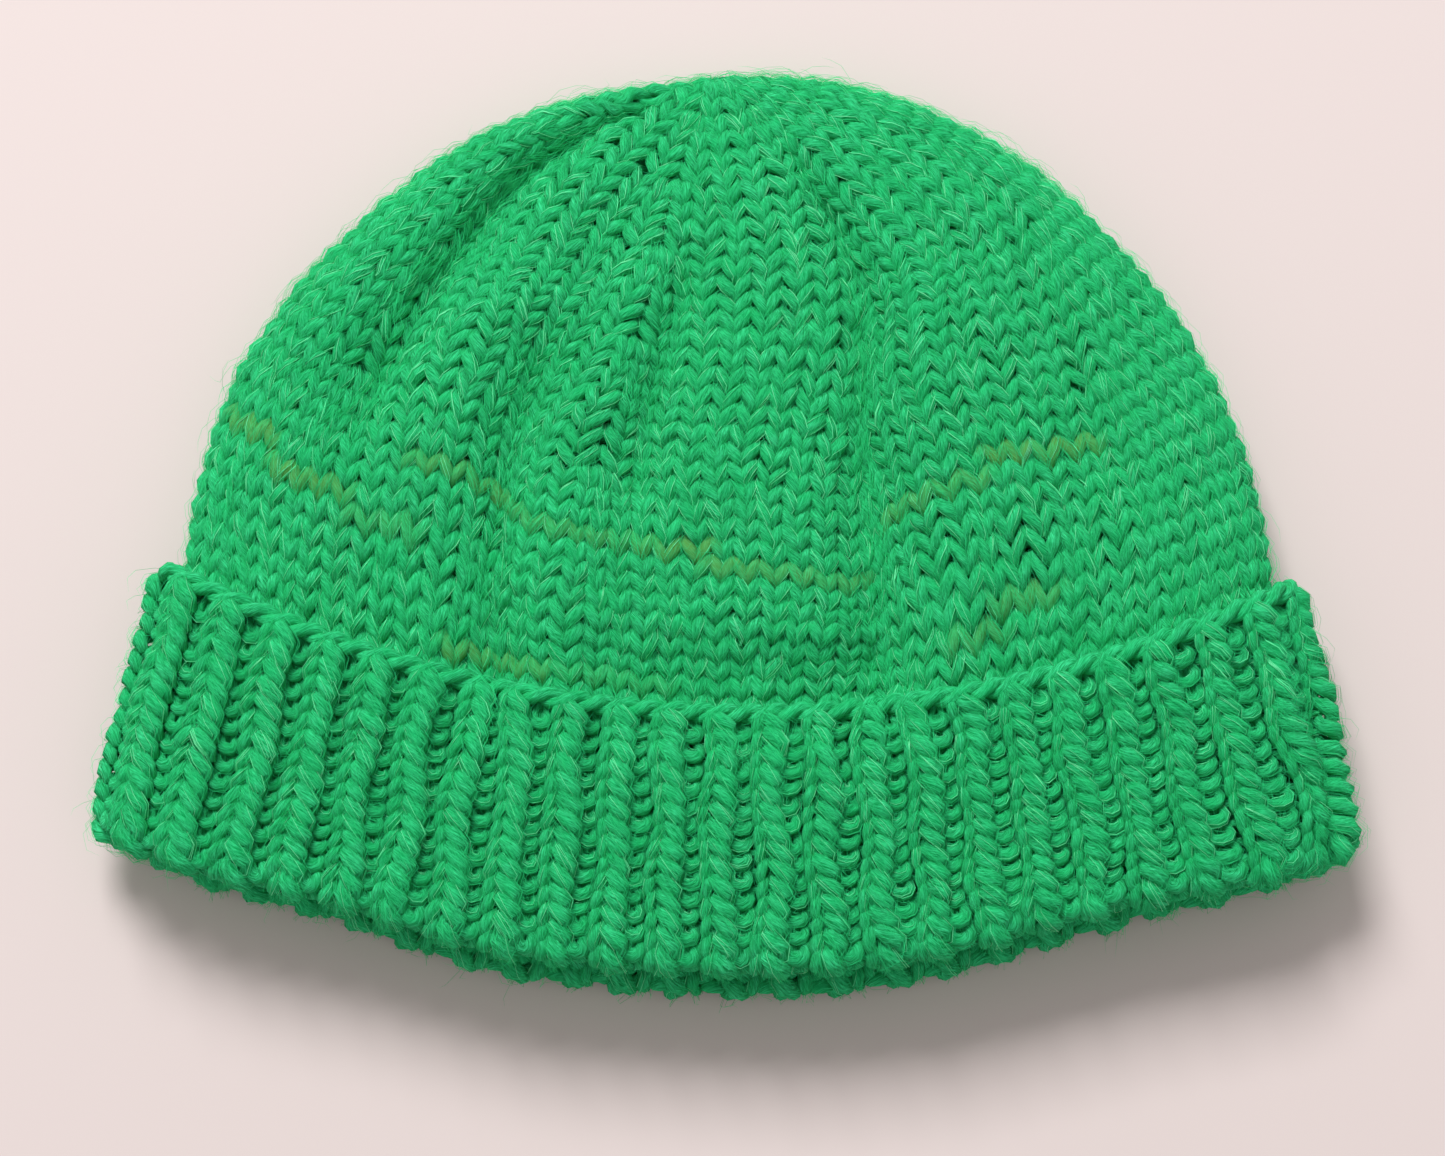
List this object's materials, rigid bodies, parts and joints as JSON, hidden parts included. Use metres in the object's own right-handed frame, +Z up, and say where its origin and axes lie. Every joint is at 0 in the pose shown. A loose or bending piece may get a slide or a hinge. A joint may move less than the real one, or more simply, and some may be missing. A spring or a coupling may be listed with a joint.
{
  "type": "knit beanie",
  "caption": "Hand-knit wool beanie lying flat: stockinette body, crown drawn together by lines of decreases, and a deep turned-up rib cuff.",
  "frame": {"origin": "middle of the footprint, on the surface that the hat lies on", "axes": "+Z up from the surface, +Y towards the crown, -Y out of the head opening, +X to the right as seen from above with the crown away from the viewer"},
  "size_m": [0.24, 0.1781, 0.0266],
  "materials": {
    "body_yarn": "soft wool in plain stockinette, bright green with short olive runs",
    "rib_yarn": "soft wool in one-by-one rib, bright green",
    "edge_yarn": "soft wool in a chained cast-on edge, bright green"
  },
  "bodies": {
    "root": {"cast_on_edge": "edge_yarn", "turned_up_cuff": "rib_yarn", "cuff_fold": "rib_yarn", "inner_rib_band": "rib_yarn", "stockinette_body": "body_yarn", "crown_wedge_1": "body_yarn", "crown_wedge_2": "body_yarn", "crown_wedge_3": "body_yarn", "crown_wedge_4": "body_yarn", "crown_wedge_5": "body_yarn", "crown_wedge_6": "body_yarn", "crown_wedge_7": "body_yarn", "crown_wedge_8": "body_yarn", "crown_closure": "body_yarn"}
  },
  "joints": []
}
